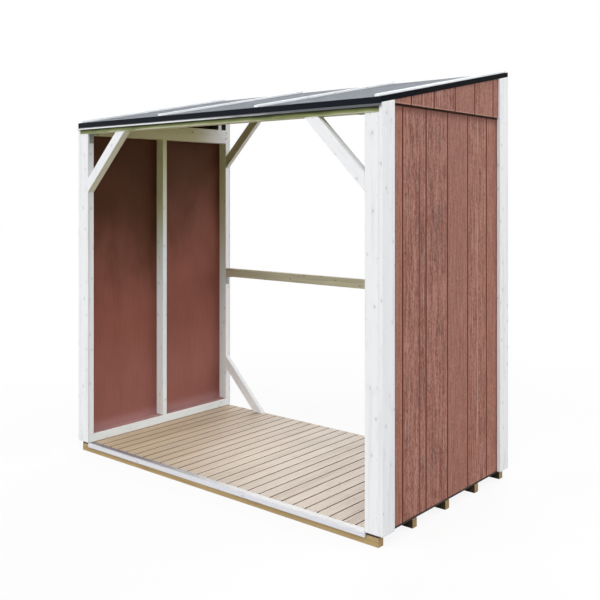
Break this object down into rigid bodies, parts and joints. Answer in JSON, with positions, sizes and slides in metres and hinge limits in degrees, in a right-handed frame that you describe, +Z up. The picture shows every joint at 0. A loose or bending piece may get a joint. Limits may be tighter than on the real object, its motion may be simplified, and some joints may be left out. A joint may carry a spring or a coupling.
{
  "type": "log store",
  "caption": "Open-fronted log store: slatted floor on bearers, grooved side walls on timber frames, knee braces and a single-pitch felt roof with battens and dark edge flashings.",
  "frame": {"origin": "ground level, at the centre of the bounding box in width and depth", "axes": "+X along the width to the right seen from the front, -Y towards the open front, +Z up"},
  "size_m": [2.259, 1.251, 2.2569],
  "materials": {
    "white_timber": "white paint, matte",
    "red_siding": "dusty brown-red paint, embossed grain",
    "deck_wood": "pale bare wood",
    "bearer_wood": "yellow-brown treated wood",
    "roof_wood": "treated wood",
    "roof_felt": "blue-grey mineral granules",
    "dark_flashing": "near-black, semi-gloss",
    "zinc_steel": "galvanised, dull"
  },
  "bodies": {
    "root": {"bearers": "bearer_wood", "deck_boards": "deck_wood", "front_sill": "white_timber", "left_bottom_plate": "white_timber", "right_bottom_plate": "white_timber", "left_studs": "white_timber", "right_studs": "white_timber", "left_top_plate": "white_timber", "right_top_plate": "white_timber", "left_wall_panel": "red_siding", "right_wall_panel": "red_siding", "left_seam_flashing": "dark_flashing", "right_seam_flashing": "dark_flashing", "left_gable_plate": "white_timber", "right_gable_plate": "white_timber", "left_gable_studs": "white_timber", "right_gable_studs": "white_timber", "left_gable_rafter": "white_timber", "right_gable_rafter": "white_timber", "left_gable_panel": "red_siding", "right_gable_panel": "red_siding", "left_front_trim": "white_timber", "right_front_trim": "white_timber", "left_back_trim": "white_timber", "right_back_trim": "white_timber", "left_side_trims": "white_timber", "right_side_trims": "white_timber", "front_header": "white_timber", "front_fascia": "white_timber", "back_header": "white_timber", "back_rail": "white_timber", "front_braces": "white_timber", "back_upper_braces": "white_timber", "back_lower_braces": "white_timber", "angle_brackets": "zinc_steel", "roof_boarding": "roof_wood", "roof_felt": "roof_felt", "front_flashing": "dark_flashing", "back_flashing": "dark_flashing", "left_verge": "dark_flashing", "right_verge": "dark_flashing", "roof_battens": "white_timber"}
  },
  "joints": []
}
